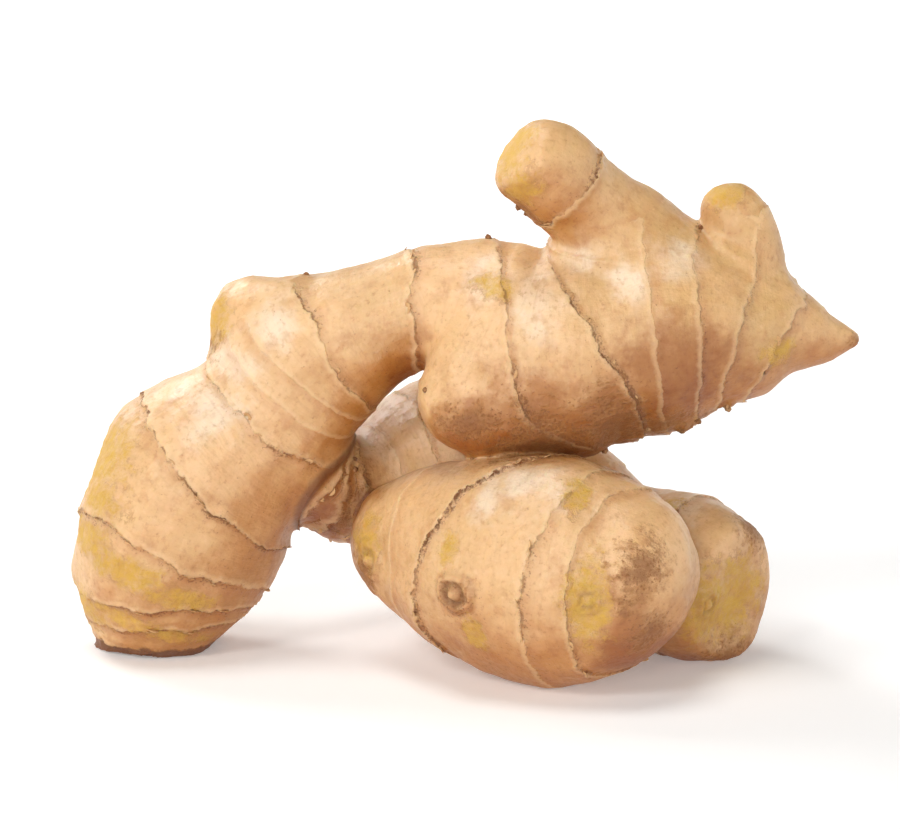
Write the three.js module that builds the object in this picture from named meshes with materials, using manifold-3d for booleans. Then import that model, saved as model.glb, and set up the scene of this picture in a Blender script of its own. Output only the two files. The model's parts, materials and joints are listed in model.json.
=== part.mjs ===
// One hand of fresh ginger, lying as it was dug and washed: a single rhizome of seven joined fingers.
// Millimetres, +Z up. X runs from the cut foot of the stem to its pointed shoot, and -Y is the side of
// the thick front lobe. The origin is on the surface it rests on, under the middle of its box.
import * as THREE from "three";
import { mergeVertices } from "three/addons/utils/BufferGeometryUtils.js";
import Module from "manifold-3d";

const wasm = await Module();
wasm.setup();

// Skin shared by all fingers.
const SKIN = { color: 0xd9b184, roughness: 0.55, metalness: 0 };
const LIP_HEIGHT = 0.5; // how far a leaf scar's lip stands out of the skin
const LIP_WIDTH = 1.4; // how far behind the scar the skin starts to rise
const STEP_WIDTH = 0.5; // from the lip down to the younger skin in front of it
const STEP_DEPTH = 0.35; // the younger skin starts this much lower
const SWELL = 0.03; // each internode is this much fuller halfway between its two scars
const LOOP_SPACING = 6; // between the plain rings of vertices along a finger
const CAP_STEPS = [0.06, 0.3, 0.62]; // where an end's rounding has its rings, as shares of its length

// A finger's axis runs from inside its parent to its free end. thickness is the half thickness at each
// axis point. flat is its depth over its height. Each scar is where a leaf scar crosses the finger, in
// millimetres along the axis: on its left side, on the side facing -Y, and on its right side, seen
// along the axis from the root. endCap and rootCap are the lengths over which the ends round off, and
// blunt is how square the free end is: 2 is a dome, 4 nearly a cut.
const FINGERS = {
  // From the cut foot up the thick leg, over the elbow, along the crown and out to the dry shoot.
  stem: {
    axis: [[-61.5, 9, -6], [-61, 9, 0.5], [-58.5, 8, 9], [-55.5, 7, 18], [-52, 7, 27], [-46.5, 7, 35.5],
      [-37.5, 7, 44.5], [-29, 7, 54], [-20, 6, 61], [-10.5, 5, 65], [-2, 4, 66.5], [5.5, 3, 63.5],
      [13, 2, 60.5], [22, 1, 60], [31.5, 1, 61.5], [38.5, 1, 62.5], [45.5, 1, 63], [52.5, 1, 62.5],
      [60.5, 1, 62], [67, 1, 60.5], [73, 1, 60]],
    thickness: [7, 10.4, 15.6, 19, 20, 18.8, 15.4, 14.8, 13.4, 11.6, 12, 15.2, 17.4, 19, 18.8, 18.6, 17,
      13.8, 9.6, 5.6, 1.8],
    flat: 0.95,
    scars: [[9, 14.5, 19], [15, 19.5, 22], [28.5, 28.5, 25], [46, 42, 37], [59, 57.5, 61], [79.5, 78, 76],
      [96, 95.5, 91], [104, 115, 125], [116, 130, 133], [141, 139.5, 140.5], [148.5, 147.5, 147],
      [158.5, 154.5, 154], [167, 163, 158]],
    rootCap: 1.5,
    endCap: 1.6,
    blunt: 2,
    sides: 26,
  },
  // The short knob under the crown that leans back towards the leg.
  underlobe: {
    axis: [[25, -0.5, 54], [17, -2.5, 52.5], [9, -5.5, 51], [1, -8, 50.2], [-8, -9, 50]],
    thickness: [14.5, 13, 10.8, 9.6, 8],
    flat: 0.95,
    scars: [[20, 18, 17]],
    rootCap: 9,
    endCap: 8,
    blunt: 2,
    sides: 22,
  },
  // The taller of the two shoots on top of the crown.
  hornLeft: {
    axis: [[35.5, 1, 67.5], [32, 0, 75.5], [25.5, -3, 83], [20.5, -6, 87.5], [16, -9, 91.5], [9, -12, 96.5]],
    thickness: [16.4, 12.8, 9.6, 8.4, 8.4, 7],
    flat: 0.95,
    scars: [[25, 21, 14], [30, 30.5, 29.5]],
    rootCap: 8,
    endCap: 4,
    blunt: 2.6,
    sides: 20,
  },
  hornRight: {
    axis: [[54, 1, 60.5], [54, 1, 67.5], [52.5, 1, 74.5], [51, 0, 80], [49.5, 0, 84], [48, -1, 89]],
    thickness: [11.8, 9.2, 7.6, 6.4, 5.8, 4.8],
    flat: 0.95,
    scars: [[24.5, 23.5, 23]],
    rootCap: 6,
    endCap: 4,
    blunt: 2.4,
    sides: 18,
  },
  elbowBud: {
    axis: [[-29, 7, 59.5], [-39.5, 9, 63.5], [-47, 11, 64]],
    thickness: [12.4, 8.2, 5.8],
    flat: 0.95,
    scars: [],
    rootCap: 6,
    endCap: 3,
    blunt: 2.4,
    sides: 18,
  },
  // From a narrow neck on the leg, behind the front lobe, and forward to the broken end on the right.
  backLimb: {
    axis: [[-40, 8.5, 40], [-32, 9, 35.5], [-25, 11.5, 31], [-19, 16.5, 27.5], [-12, 20.5, 29.5],
      [-3, 22, 32.5], [9.5, 19, 28.5], [20.5, 15, 22.5], [29, 11, 17], [37, 6, 15], [44.5, -1, 14],
      [51.5, -8, 13.5]],
    thickness: [11, 9.8, 9.2, 10.6, 15, 17.2, 17.4, 15.8, 14.6, 15, 15, 12.6],
    flat: 0.95,
    scars: [[13.5, 15, 14.5], [18, 20, 22.5], [40, 42, 44], [57, 58, 60], [73, 73, 74], [87, 87, 86],
      [100, 99, 98]],
    rootCap: 6,
    endCap: 3.5,
    blunt: 3,
    sides: 24,
  },
  frontLobe: {
    axis: [[-20.5, 3, 21], [-14.5, 1, 21.8], [-5.5, -3, 22], [1.5, -7, 21.2], [11, -13, 20.5],
      [19.5, -18, 20.5], [27.5, -22, 20.5], [34, -26, 20.5], [40, -29.5, 20]],
    thickness: [7.6, 10.4, 15.4, 18.6, 20.6, 20.4, 18, 14.2, 10],
    flat: 0.97,
    scars: [[34, 23, 32], [44.5, 45.5, 48], [58, 53, 57.5]],
    rootCap: 7,
    endCap: 7,
    blunt: 2.2,
    sides: 24,
  },
};

// Round scars with a raised rim and a nipple in the middle: eyes where a shoot slept, and stubs of the
// roots. along and angle say where on the finger, with angle in degrees from the side facing -Y.
const BUDS = [
  { finger: "frontLobe", along: 33.5, angle: 6, radius: 3.4, rise: 1.3 },
  { finger: "frontLobe", along: 57, angle: 0, radius: 2.4, rise: 0.8 },
  { finger: "frontLobe", along: 7.5, angle: 6, radius: 3, rise: 0.8 },
  { finger: "backLimb", along: 106, angle: 12, radius: 2.4, rise: 0.8 },
  { finger: "backLimb", along: 17.5, angle: -45, radius: 0.9, rise: 0.7 },
  { finger: "backLimb", along: 19.5, angle: -25, radius: 0.9, rise: 0.7 },
  { finger: "backLimb", along: 50, angle: 165, radius: 3.2, rise: 1.1 },
  { finger: "backLimb", along: 80, angle: 150, radius: 2.4, rise: 0.9 },
  { finger: "stem", along: 144, angle: 70, radius: 1.3, rise: 1.3 },
  { finger: "stem", along: 155, angle: 66, radius: 1.2, rise: 1.2 },
  { finger: "stem", along: 66, angle: 170, radius: 3, rise: 1 },
  { finger: "stem", along: 110, angle: 190, radius: 2.8, rise: 1 },
  { finger: "stem", along: 35, angle: 160, radius: 2.2, rise: 0.8 },
];
const BUD_SIDES = 10;
const BUD_DEPTH = 3; // how far a bud's body reaches into the finger

// Ends where another finger broke away: a shallow dish of this width and depth in the finger's end.
const BREAKS = [
  { finger: "frontLobe", width: 14, depth: 1.2 },
  { finger: "backLimb", width: 19, depth: 0.9 },
];

// The axis and the thickness of a finger as curves that share their parameter.
function spineOf(finger) {
  const path = new THREE.CatmullRomCurve3(finger.axis.map((p) => new THREE.Vector3(...p)));
  const girth = new THREE.SplineCurve(finger.thickness.map((r, i) => new THREE.Vector2(i, r)));
  return { path, girth, length: path.getLength() };
}

// The frame of the axis at a distance along it: the point, the direction, the side facing -Y and the
// right-hand side.
function frameAt(spine, along) {
  const t = spine.path.getUtoTmapping(THREE.MathUtils.clamp(along / spine.length, 0, 1));
  const onward = spine.path.getTangent(t);
  const facing = new THREE.Vector3(0, -1, 0).addScaledVector(onward, onward.y).normalize();
  const right = new THREE.Vector3().crossVectors(onward, facing);
  return { point: spine.path.getPoint(t), onward, facing, right, thickness: spine.girth.getPoint(t).y };
}

// How far a leaf scar runs ahead of the place where it crosses the facing side, at an angle round the
// finger.
function scarLead([left, facing, right], angle) {
  return ((right - left) / 2) * Math.sin(angle) + ((left + right) / 2 - facing) * (1 - Math.cos(angle));
}

// The lead at any distance along the finger, blended from one scar to the next.
function leadAt(finger, length, along, angle) {
  const knots = [[0, 0], ...finger.scars.map((scar) => [scar[1], scarLead(scar, angle)]), [length, 0]];
  const next = knots.findIndex(([at]) => at >= along);
  if (next <= 0) return 0;
  const [from, leadFrom] = knots[next - 1];
  const [to, leadTo] = knots[next];
  return THREE.MathUtils.lerp(leadFrom, leadTo, (along - from) / (to - from));
}

// The share of the full thickness left at a distance from an end that rounds off over a cap.
function rounding(fromEnd, cap, blunt) {
  if (fromEnd >= cap) return 1;
  return (1 - (1 - Math.max(fromEnd, 0) / cap) ** blunt) ** (1 / blunt);
}

// The outline that is turned into a straight finger: half thickness against distance along.
function outlineOf(finger, spine) {
  const { length } = spine;
  const scars = finger.scars.map((scar) => scar[1]);
  const stops = [finger.rootCap, ...scars, length - finger.endCap];
  const outline = [new THREE.Vector2(0, 0)];
  const add = (along, relief = 0) => {
    const caps = rounding(along, finger.rootCap, 2) * rounding(length - along, finger.endCap, finger.blunt);
    const next = scars.findIndex((at) => at > along);
    const between = next > 0 ? (along - scars[next - 1]) / (scars[next] - scars[next - 1]) : 0;
    const full = frameAt(spine, along).thickness * (1 + SWELL * Math.sin(Math.PI * between));
    outline.push(new THREE.Vector2((full + relief) * caps, along));
  };
  for (const share of CAP_STEPS) add(finger.rootCap * share);
  for (let k = 0; k < stops.length; k++) {
    const at = stops[k];
    if (scars.includes(at)) {
      add(at - LIP_WIDTH);
      add(at, LIP_HEIGHT);
      add(at + STEP_WIDTH, -STEP_DEPTH);
    } else {
      add(at);
    }
    if (k + 1 === stops.length) break;
    const room = stops[k + 1] - at;
    const plain = Math.max(1, Math.round(room / LOOP_SPACING) - 1);
    for (let i = 1; i <= plain; i++) add(at + (room * i) / (plain + 1));
  }
  for (const share of CAP_STEPS.toReversed()) add(length - finger.endCap * share);
  outline.push(new THREE.Vector2(0, length));
  return outline;
}

// Real fingers aren't round: a slow oval and a slower three-sided swelling wander along them.
function unevenness(along, angle) {
  return 1 + 0.018 * Math.sin(2 * angle + 1.3 + along / 14) + 0.012 * Math.sin(3 * angle - along / 9);
}

// A straight turned finger, bent onto its axis.
function fingerGeometry(finger) {
  const spine = spineOf(finger);
  const geometry = new THREE.LatheGeometry(outlineOf(finger, spine), finger.sides);
  const position = geometry.getAttribute("position");
  const vertex = new THREE.Vector3();
  for (let i = 0; i < position.count; i++) {
    vertex.fromBufferAttribute(position, i);
    const angle = Math.atan2(vertex.x, vertex.z);
    const along = vertex.y + leadAt(finger, spine.length, vertex.y, angle);
    const { point, facing, right, thickness } = frameAt(spine, along);
    const share = thickness / frameAt(spine, vertex.y).thickness;
    const radius = Math.hypot(vertex.x, vertex.z) * share * unevenness(along, angle);
    point.addScaledVector(facing, radius * finger.flat * Math.cos(angle));
    point.addScaledVector(right, radius * Math.sin(angle));
    position.setXYZ(i, point.x, point.y, point.z);
  }
  return geometry;
}

// A bud turned round +Y, then stood on the finger's skin with +Y as the outward direction.
function budGeometry({ finger: name, along, angle, radius, rise }) {
  const finger = FINGERS[name];
  const { point, facing, right, thickness } = frameAt(spineOf(finger), along);
  const turn = THREE.MathUtils.degToRad(angle);
  const outward = facing.multiplyScalar(Math.cos(turn)).addScaledVector(right, Math.sin(turn));
  const outline = [
    [0, -BUD_DEPTH],
    [radius, -BUD_DEPTH],
    [radius * 1.15, 0],
    [radius * 0.85, rise * 0.75],
    [radius * 0.55, rise * 0.3],
    [radius * 0.25, rise],
    [0, rise * 1.1],
  ].map(([x, y]) => new THREE.Vector2(x, y));
  const geometry = new THREE.LatheGeometry(outline, BUD_SIDES);
  geometry.applyQuaternion(new THREE.Quaternion().setFromUnitVectors(new THREE.Vector3(0, 1, 0), outward));
  point.addScaledVector(outward, thickness * finger.flat);
  return geometry.translate(point.x, point.y, point.z);
}

// The flat lens that takes a dish of the wanted width and depth out of a finger's free end.
function breakGeometry({ finger: name, width, depth }) {
  const spine = spineOf(FINGERS[name]);
  const { point, onward } = frameAt(spine, spine.length);
  const geometry = new THREE.SphereGeometry(1, 20, 10).scale(width / 2, depth, width / 2);
  geometry.applyQuaternion(new THREE.Quaternion().setFromUnitVectors(new THREE.Vector3(0, 1, 0), onward));
  return geometry.translate(point.x, point.y, point.z);
}

// A closed geometry as a solid that can be joined and cut.
function solidOf(geometry) {
  const bare = new THREE.BufferGeometry().setIndex(geometry.index);
  bare.setAttribute("position", geometry.getAttribute("position"));
  const merged = mergeVertices(bare, 1e-3);
  const corners = Array.from(merged.index.array);
  const triVerts = [];
  for (let i = 0; i < corners.length; i += 3) {
    const [a, b, c] = corners.slice(i, i + 3);
    if (a !== b && b !== c && a !== c) triVerts.push(a, b, c);
  }
  const mesh = new wasm.Mesh({
    numProp: 3,
    vertProperties: new Float32Array(merged.getAttribute("position").array),
    triVerts: new Uint32Array(triVerts),
  });
  return new wasm.Manifold(mesh);
}

// A solid back as a geometry for three.js.
function geometryOf(solid) {
  const { vertProperties, triVerts } = solid.getMesh();
  const geometry = new THREE.BufferGeometry();
  geometry.setAttribute("position", new THREE.BufferAttribute(vertProperties, 3));
  geometry.setIndex(new THREE.BufferAttribute(triVerts, 1));
  geometry.computeVertexNormals();
  return geometry;
}

const grown = [...Object.values(FINGERS).map(fingerGeometry), ...BUDS.map(budGeometry)];
let rhizome = grown.map(solidOf).reduce((whole, piece) => whole.add(piece));
for (const end of BREAKS) rhizome = rhizome.subtract(solidOf(breakGeometry(end)));

// The surface it rests on flattens the lowest skin of the two lobes and closes the cut foot.
const ground = new THREE.BoxGeometry(400, 400, 50).translate(0, 0, -25);
rhizome = rhizome.subtract(solidOf(ground));

const mesh = new THREE.Mesh(geometryOf(rhizome), new THREE.MeshStandardMaterial(SKIN));
mesh.name = "rhizome";

const part = new THREE.Group();
part.add(mesh);
export default part;
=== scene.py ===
import json
import math

import bmesh
import bpy
import numpy as np
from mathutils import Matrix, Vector, noise

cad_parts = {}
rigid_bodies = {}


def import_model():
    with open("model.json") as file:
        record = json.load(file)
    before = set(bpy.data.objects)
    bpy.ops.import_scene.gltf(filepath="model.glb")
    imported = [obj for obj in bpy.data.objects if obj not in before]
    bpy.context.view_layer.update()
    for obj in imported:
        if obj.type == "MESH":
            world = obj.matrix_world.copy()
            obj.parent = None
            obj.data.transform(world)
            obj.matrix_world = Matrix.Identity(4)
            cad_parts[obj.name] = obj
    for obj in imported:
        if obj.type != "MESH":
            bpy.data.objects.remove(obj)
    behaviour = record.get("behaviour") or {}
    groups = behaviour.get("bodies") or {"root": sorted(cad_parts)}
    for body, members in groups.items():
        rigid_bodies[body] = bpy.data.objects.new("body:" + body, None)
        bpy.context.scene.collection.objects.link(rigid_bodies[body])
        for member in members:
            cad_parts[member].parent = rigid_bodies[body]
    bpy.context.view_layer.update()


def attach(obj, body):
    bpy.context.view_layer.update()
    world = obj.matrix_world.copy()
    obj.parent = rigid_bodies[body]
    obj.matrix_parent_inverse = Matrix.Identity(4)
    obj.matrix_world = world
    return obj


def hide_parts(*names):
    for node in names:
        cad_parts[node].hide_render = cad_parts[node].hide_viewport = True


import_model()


# Camera
# It stands where the photograph was taken from: about half a metre in front of the ginger and ten degrees
# above it, with a long lens. The target is the point in the middle of the photograph.
CAMERA_TARGET = Vector((-0.002, 0.009, 0.0447))
CAMERA_DISTANCE = 0.475
CAMERA_RISE = math.radians(10)
CAMERA_LENS = 100

camera_data = bpy.data.cameras.new("photo_camera")
camera_data.lens = CAMERA_LENS
camera_data.clip_start = 0.01
camera_data.clip_end = 60
camera = bpy.data.objects.new("photo_camera", camera_data)
camera.location = CAMERA_TARGET + CAMERA_DISTANCE * Vector((0, -math.cos(CAMERA_RISE), math.sin(CAMERA_RISE)))
camera.rotation_euler = (math.pi / 2 - CAMERA_RISE, 0, 0)
bpy.context.scene.collection.objects.link(camera)
bpy.context.scene.camera = camera


# Floor and light
# A round white studio table whose edge sweeps up into a wall on all sides, so the background is white
# wherever the ginger is seen from. Soft lights hang left in front, above, left behind and low in front.
TABLE_RADIUS = 1.5
SWEEP_RADIUS = 0.5
WALL_HEIGHT = 0.4
TABLE_COLOUR = (0.93, 0.93, 0.93, 1)
TABLE_GLOW = 0.6  # where the table ends
GLOW_LEAST = 0.3  # of that, within GLOW_START of the middle, where the ginger lies
GLOW_START = 0.15
SURROUND = 0.06
LIGHTS = {
    "key": {"place": (-0.55, -0.8, 0.78), "size": 0.36, "watts": 4.3, "colour": (1, 0.985, 0.955)},
    "top": {"place": (-0.14, -0.06, 1.15), "size": 0.5, "watts": 4.8, "colour": (1, 0.99, 0.97)},
    "back": {"place": (-0.62, 0.64, 0.78), "size": 0.5, "watts": 5.6, "colour": (1, 0.995, 0.98)},
    "front": {"place": (-0.2, -1.15, 0.34), "size": 0.4, "watts": 2.3, "colour": (1, 0.985, 0.96)},
}
LIGHT_AIM = Vector((0, 0, 0.04))


def finished(bm, name):
    """Turns the bmesh into a smooth-shaded object of this name."""
    mesh = bpy.data.meshes.new(name)
    bm.to_mesh(mesh)
    bm.free()
    mesh.polygons.foreach_set("use_smooth", [True] * len(mesh.polygons))
    made = bpy.data.objects.new(name, mesh)
    bpy.context.scene.collection.objects.link(made)
    return made


def new_material(name):
    """A material, with its node tree and its shader."""
    material = bpy.data.materials.new(name)
    material.use_nodes = True
    return material, material.node_tree, material.node_tree.nodes["Principled BSDF"]


bm = bmesh.new()
middle = bm.verts.new((0, 0, 0))
rim = bmesh.ops.extrude_vert_indiv(bm, verts=[middle])["verts"][0]
rim.co.x = TABLE_RADIUS
swept = bmesh.ops.spin(
    bm, geom=[rim], cent=(TABLE_RADIUS, 0, SWEEP_RADIUS), axis=(0, -1, 0), dvec=(0, 0, 0),
    angle=math.pi / 2, steps=16, use_merge=False,
)["geom_last"]
edge = [part for part in swept if isinstance(part, bmesh.types.BMVert)]
bmesh.ops.extrude_vert_indiv(bm, verts=edge)["verts"][0].co.z += WALL_HEIGHT
bmesh.ops.spin(
    bm, geom=bm.verts[:] + bm.edges[:], cent=(0, 0, 0), axis=(0, 0, 1), dvec=(0, 0, 0),
    angle=2 * math.pi, steps=96, use_merge=True,
)
bmesh.ops.remove_doubles(bm, verts=bm.verts, dist=1e-5)
bmesh.ops.recalc_face_normals(bm, faces=bm.faces)
bm.faces.ensure_lookup_table()
if bm.faces[0].normal.z < 0:
    bmesh.ops.reverse_faces(bm, faces=bm.faces)
floor = finished(bm, "table")

table_paint, tree, principled = new_material("table_paint")
principled.inputs["Base Color"].default_value = TABLE_COLOUR
principled.inputs["Roughness"].default_value = 0.9
principled.inputs["Emission Strength"].default_value = TABLE_GLOW
where = tree.nodes.new("ShaderNodeTexCoord")
far = tree.nodes.new("ShaderNodeVectorMath")
far.operation = "LENGTH"
glow = tree.nodes.new("ShaderNodeMapRange")
glow.inputs["From Min"].default_value = GLOW_START
glow.inputs["To Min"].default_value = GLOW_LEAST
glow.inputs["From Max"].default_value = TABLE_RADIUS
tree.links.new(where.outputs["Object"], far.inputs[0])
tree.links.new(far.outputs["Value"], glow.inputs["Value"])
tree.links.new(glow.outputs["Result"], principled.inputs["Emission Color"])
floor.data.materials.append(table_paint)

surround = bpy.data.worlds.new("surround")
surround.use_nodes = True
surround.node_tree.nodes["Background"].inputs["Color"].default_value = (1, 1, 1, 1)
surround.node_tree.nodes["Background"].inputs["Strength"].default_value = SURROUND
bpy.context.scene.world = surround
bpy.context.scene.view_settings.view_transform = "Standard"

for name, light in LIGHTS.items():
    lamp = bpy.data.lights.new(name, "AREA")
    lamp.shape = "DISK"
    lamp.size = light["size"]
    lamp.energy = light["watts"]
    lamp.color = light["colour"]
    stand = bpy.data.objects.new(name, lamp)
    stand.location = light["place"]
    stand.rotation_euler = (LIGHT_AIM - stand.location).to_track_quat("-Z", "Y").to_euler()
    bpy.context.scene.collection.objects.link(stand)


# The fingers of the rhizome
# The living body of the ginger: seven fat fingers grown out of each other. Each is drawn here as a
# straight grid rolled into a tube and bent along its axis, at the sizes the solid has, in millimetres.
MM = 0.001
# thickness is how far the skin lies from the axis at each of its points, flat is the finger's depth for its
# height, caps are the lengths over which its two ends are rounded, and blunt is how square the far end is.
# A scar is given by its places along the finger at the left-hand side, facing -Y, and at the right-hand side.
# Up to "downward" the lips of the scars face down to the foot.
FINGERS = {
    "stem": {
        "axis": [(-61.5, 9, -6), (-61, 9, 0.5), (-58.5, 8, 9), (-55.5, 7, 18), (-52, 7, 27), (-46.5, 7, 35.5),
                 (-37.5, 7, 44.5), (-29, 7, 54), (-20, 6, 61), (-10.5, 5, 65), (-2, 4, 66.5), (5.5, 3, 63.5),
                 (13, 2, 60.5), (22, 1, 60), (31.5, 1, 61.5), (38.5, 1, 62.5), (45.5, 1, 63), (52.5, 1, 62.5),
                 (60.5, 1, 62), (67, 1, 60.5), (74.2, 1, 60.2)],
        "thickness": [7, 10.4, 15.6, 19, 20, 18.8, 15.4, 14.8, 13.4, 11.6, 12, 15.2, 17.4, 19, 18.8, 18.6, 17,
                      13.8, 9.4, 5, 0.9],
        "flat": 0.95, "caps": (1.5, 0.8), "blunt": 2, "downward": 75,
        "scars": [(8.2, 8.6, 9.4), (9.6, 14.5, 19), (15, 19.5, 22), (28.5, 28.5, 25), (46, 42, 37),
                  (59, 57.5, 61), (67, 63.5, 67.5), (70.5, 69.5, 73.5), (79.5, 78, 76), (96, 95.5, 91),
                  (104, 115, 125), (116, 130, 133), (141, 139.5, 140.5), (148.5, 147.5, 147),
                  (158.5, 154.5, 154), (167, 163, 158)],
    },
    "underlobe": {
        "axis": [(25, -0.5, 54), (17, -2.5, 52.5), (9, -5.5, 51), (1, -8, 50.2), (-8, -9, 50)],
        "thickness": [14.5, 13, 10.8, 9.6, 8],
        "flat": 0.95, "caps": (9, 8), "blunt": 2,
        "scars": [(20, 18, 17)],
    },
    "hornLeft": {
        "axis": [(35.5, 1, 67.5), (32, 0, 75.5), (25.5, -3, 83), (20.5, -6, 87.5), (16, -9, 91.5), (9, -12, 96.5)],
        "thickness": [16.4, 12.8, 9.6, 8.4, 8.4, 7],
        "flat": 0.95, "caps": (8, 4), "blunt": 2.6,
        "scars": [(25, 21, 14), (30, 30.5, 29.5)],
    },
    "hornRight": {
        "axis": [(54, 1, 60.5), (54, 1, 67.5), (52.5, 1, 74.5), (51, 0, 80), (49.5, 0, 84), (48, -1, 89)],
        "thickness": [11.8, 9.2, 7.6, 6.4, 5.8, 4.8],
        "flat": 0.95, "caps": (6, 4), "blunt": 2.4,
        "scars": [(24.5, 23.5, 23)],
    },
    "elbowBud": {
        "axis": [(-29, 7, 59.5), (-39.5, 9, 63.5), (-47, 11, 64)],
        "thickness": [12.4, 8.2, 5.8],
        "flat": 0.95, "caps": (6, 3), "blunt": 2.4,
        "scars": [],
    },
    "backLimb": {
        "axis": [(-40, 8.5, 40), (-32, 9, 35.5), (-25, 11.5, 30.6), (-18.5, 16.5, 28.8), (-12, 20, 29.8),
                 (-3, 22, 32.5), (9.5, 19, 28.5), (20.5, 15, 22.5), (29, 11, 17), (37, 6, 15), (44.5, -1, 14),
                 (51.5, -8, 13.5)],
        "thickness": [11, 9.8, 9.4, 11.8, 15, 17.2, 17.4, 15.8, 14.6, 15, 15, 12.6],
        "flat": 0.95, "caps": (6, 3.5), "blunt": 3,
        "scars": [(11, 12.5, 12), (13.5, 15, 14.5), (16, 17.5, 18.5), (18.5, 20, 22.5), (28, 29, 30),
                  (40, 42, 44), (57, 58, 60), (73, 73, 74), (87, 87, 86), (100, 99, 98)],
    },
    "frontLobe": {
        "axis": [(-20.5, 3, 21), (-14.5, 1, 21.8), (-5.5, -3, 22), (1.5, -7, 21.2), (11, -13, 20.5),
                 (19.5, -18, 20.5), (27.5, -22, 20.5), (34, -26, 20.5), (40, -29.5, 20)],
        "thickness": [7.6, 10.4, 15.4, 18.6, 20.6, 20.4, 18, 14.2, 10],
        "flat": 0.97, "caps": (7, 7), "blunt": 2.2,
        "scars": [(19, 14, 20), (41, 24, 30), (52, 45.5, 48), (58, 53, 57.5)],
    },
}
SPINE_STEP = 0.5
CURVE_STEPS = 24
TUBE_SIDES = 96
POINTS_AT_ONCE = 20000  # whose nearest point of the spine is looked for together
RING_SPACING = 1.6  # of the tube's rings, in steps of the spine


def smooth_rows(rows, spread):
    """A centripetal curve through the rows. spread says how far apart two rows are."""
    rows = np.array(rows, float)
    rows = np.vstack([2 * rows[0] - rows[1], rows, 2 * rows[-1] - rows[-2]])
    share = np.linspace(0, 1, CURVE_STEPS, endpoint=False)[:, None]
    out = []
    for before, a, b, after in zip(rows, rows[1:], rows[2:], rows[3:]):
        first, span, last = spread(a - before), spread(b - a), spread(after - b)
        leave = ((a - before) / first - (b - before) / (first + span) + (b - a) / span) * span
        reach = ((b - a) / span - (after - a) / (span + last) + (after - b) / last) * span
        out.append(
            a + leave * share + (3 * (b - a) - 2 * leave - reach) * share**2
            + (2 * (a - b) + leave + reach) * share**3
        )
    return np.vstack(out + [rows[-2:-1]])


def unit(rows):
    return rows / np.linalg.norm(rows, axis=-1, keepdims=True)


class Spine:
    """A finger's axis in even steps, with the frame that angles round the finger are counted in: 0 faces
    -Y, and a quarter turn faces the right-hand side, seen along the axis."""

    def __init__(self, finger):
        path = smooth_rows(finger["axis"], lambda row: np.linalg.norm(row) ** 0.5)
        girth = smooth_rows([[half] for half in finger["thickness"]], lambda row: 1.0)[:, 0]
        run = np.concatenate([[0], np.cumsum(np.linalg.norm(np.diff(path, axis=0), axis=1))])
        self.length = run[-1]
        self.along = np.linspace(0, self.length, int(self.length / SPINE_STEP) + 1)
        self.point = np.stack([np.interp(self.along, run, path[:, k]) for k in range(3)], axis=1)
        self.half = np.interp(self.along, run, girth)
        self.onward = unit(np.gradient(self.point, axis=0))
        self.facing = unit(np.array([0, -1, 0]) + self.onward * self.onward[:, 1:2])
        self.right = np.cross(self.onward, self.facing)

    def at(self, rows, along):
        return np.stack([np.interp(along, self.along, rows[:, k]) for k in range(3)], axis=1)


def rounding(from_end, cap, blunt):
    inside = 1 - np.clip(from_end / cap, 0, 1)
    return (1 - inside**blunt) ** (1 / blunt)


def half_thickness(name, along, angle):
    """The distance from the axis to the smooth skin."""
    finger, spine = FINGERS[name], SPINES[name]
    half = np.interp(along, spine.along, spine.half)
    root, end = finger["caps"]
    half = half * rounding(along, root, 2) * rounding(spine.length - along, end, finger["blunt"])
    return half * (1 + 0.018 * np.sin(2 * angle + 1.3 + along / 14) + 0.012 * np.sin(3 * angle - along / 9))


def place_on(name, along, angle, distance):
    """Points at a distance from a finger's axis, in millimetres."""
    finger, spine = FINGERS[name], SPINES[name]
    facing = spine.at(spine.facing, along) * (distance * finger["flat"] * np.cos(angle))[:, None]
    right = spine.at(spine.right, along) * (distance * np.sin(angle))[:, None]
    return spine.at(spine.point, along) + facing + right


def roll_finger(bm, name):
    """Adds a finger to the bmesh: a grid rolled round the axis, with its seam and its two poles closed."""
    rings = int(SPINES[name].length / SPINE_STEP / RING_SPACING)
    grid = bmesh.ops.create_grid(bm, x_segments=TUBE_SIDES, y_segments=rings, size=0.5)["verts"]
    flat = np.array([vertex.co for vertex in grid])
    angle = flat[:, 0] * 2 * math.pi
    # closer rings at both ends, where the thickness changes fastest
    share = 0.5 + 0.5 * np.sin(flat[:, 1] * math.pi)
    along = share * SPINES[name].length
    for vertex, place in zip(grid, place_on(name, along, angle, half_thickness(name, along, angle))):
        vertex.co = place * MM
    bmesh.ops.remove_doubles(bm, verts=grid, dist=1e-6)


SPINES = {name: Spine(finger) for name, finger in FINGERS.items()}

# All fingers are grown into one closed skin with a voxel remesh, under a millimetre fine.
VOXEL = 0.72 * MM
bm = bmesh.new()
for name in FINGERS:
    roll_finger(bm, name)
bmesh.ops.recalc_face_normals(bm, faces=bm.faces)
fingers = finished(bm, "fingers")
weld = fingers.modifiers.new("weld", "REMESH")
weld.mode = "VOXEL"
weld.voxel_size = VOXEL
grown = fingers.evaluated_get(bpy.context.evaluated_depsgraph_get())
rhizome_mesh = bpy.data.meshes.new_from_object(grown)
bpy.data.objects.remove(fingers)
rhizome_mesh.name = "rhizome_skin"


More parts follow.
